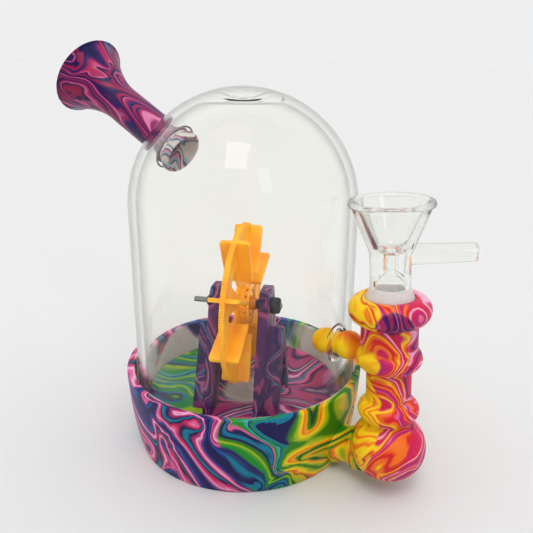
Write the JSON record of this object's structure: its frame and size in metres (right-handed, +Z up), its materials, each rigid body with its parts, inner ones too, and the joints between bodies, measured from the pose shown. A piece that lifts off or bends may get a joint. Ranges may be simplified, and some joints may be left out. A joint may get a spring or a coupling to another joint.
{
  "type": "water pipe",
  "caption": "Tabletop water pipe with a glass dome on a marbled silicone cup, a paddle wheel on a steel axle, a side stem with a lift-out glass bowl, and a flared mouthpiece.",
  "frame": {"origin": "centre of the cup's underside, on the surface it stands on, on the dome's axis", "axes": "+Z up along the dome's axis, +X from the dome's axis towards the stem, so the mouthpiece leans to -X; +Y to the stem side's left"},
  "size_m": [0.153, 0.0824, 0.1357],
  "materials": {
    "cup_silicone": "satin silicone printed with flowing marbling: navy, violet and magenta, turning green, teal and yellow-green towards the arm",
    "floor_silicone": "satin silicone with green, yellow, teal and violet marbling and some unprinted grey-white",
    "post_silicone": "satin silicone with violet, navy and magenta marbling",
    "arm_silicone": "satin silicone with yellow-green and green marbling",
    "stem_silicone": "satin silicone with yellow, orange, red and pink marbling that flows along the stem",
    "plug_silicone": "satin silicone, yellow with thin orange lines",
    "mouthpiece_silicone": "satin silicone with crimson, magenta and dark violet flame streaks along its length",
    "clear_glass": "clear borosilicate glass, polished",
    "frosted_glass": "ground glass, frosted white",
    "steel": "plain steel rod",
    "black_rubber": "matte black rubber",
    "wheel_plastic": "translucent amber-yellow moulded plastic, satin"
  },
  "bodies": {
    "base": {"base_cup": "cup_silicone", "floor_insert": "floor_silicone", "post_left": "post_silicone", "post_right": "post_silicone", "base_arm": "arm_silicone", "stem": "stem_silicone", "inlet_plug": "plug_silicone", "dome": "clear_glass", "axle": "steel", "nut_left": "black_rubber", "nut_right": "black_rubber", "washer_right": "black_rubber", "spacer_left": "black_rubber"},
    "wheel": {"wheel_disc": "wheel_plastic", "wheel_hub": "wheel_plastic", "paddle_1": "wheel_plastic", "paddle_2": "wheel_plastic", "paddle_3": "wheel_plastic", "paddle_4": "wheel_plastic", "paddle_5": "wheel_plastic", "paddle_6": "wheel_plastic", "paddle_7": "wheel_plastic", "paddle_8": "wheel_plastic"},
    "mouthpiece": {"mouthpiece_horn": "mouthpiece_silicone", "mouthpiece_grommet": "mouthpiece_silicone"},
    "bowl": {"bowl_funnel": "clear_glass", "bowl_neck": "clear_glass", "bowl_joint": "frosted_glass", "bowl_handle": "clear_glass"}
  },
  "joints": [
    {"name": "wheel_spin", "type": "hinge", "parent": "base", "child": "wheel", "pos_m": [0, 0, 0.0502], "axis": [0.9171, 0.3987, 0], "continuous": true},
    {"name": "mouthpiece_turn", "type": "hinge", "parent": "base", "child": "mouthpiece", "pos_m": [0, 0, 0.0851], "axis": [-0.8829, 0, 0.4695], "continuous": true},
    {"name": "bowl_lift", "type": "slide", "parent": "base", "child": "bowl", "axis": [-0.0593, 0, 0.9982], "range_m": [0, 0.03]}
  ]
}
